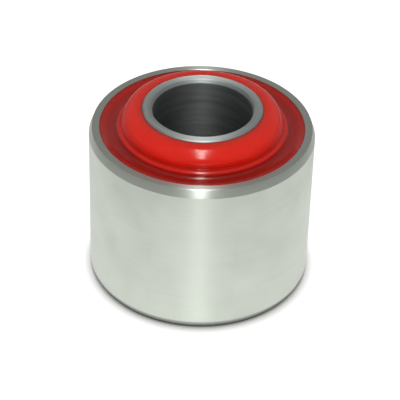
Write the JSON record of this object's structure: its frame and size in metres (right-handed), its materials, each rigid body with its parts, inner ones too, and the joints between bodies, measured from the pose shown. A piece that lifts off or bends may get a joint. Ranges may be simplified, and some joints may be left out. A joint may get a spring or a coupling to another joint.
{
  "type": "polyurethane bushing",
  "caption": "Polyurethane bushing: steel outer sleeve, moulded red polyurethane element and a steel inner sleeve that turns in it and takes the through bolt.",
  "frame": {"origin": "on the bushing's axis, in the plane of the inner sleeve's lower end, on which it stands", "axes": "+Z along the bushing's axis, towards the end with the raised boss; X and Y are alike"},
  "size_m": [0.032, 0.032, 0.0272],
  "materials": {
    "outer_steel": "fine turned",
    "polyurethane": "glossy moulded",
    "inner_steel": "turned"
  },
  "bodies": {
    "shell": {"outer_sleeve": "outer_steel", "polyurethane_element": "polyurethane"},
    "sleeve": {"inner_sleeve": "inner_steel"}
  },
  "joints": [
    {"name": "sleeve_turn", "type": "hinge", "parent": "shell", "child": "sleeve", "pos_m": [0, 0, 0.0136], "axis": [0, 0, 1], "continuous": true}
  ]
}
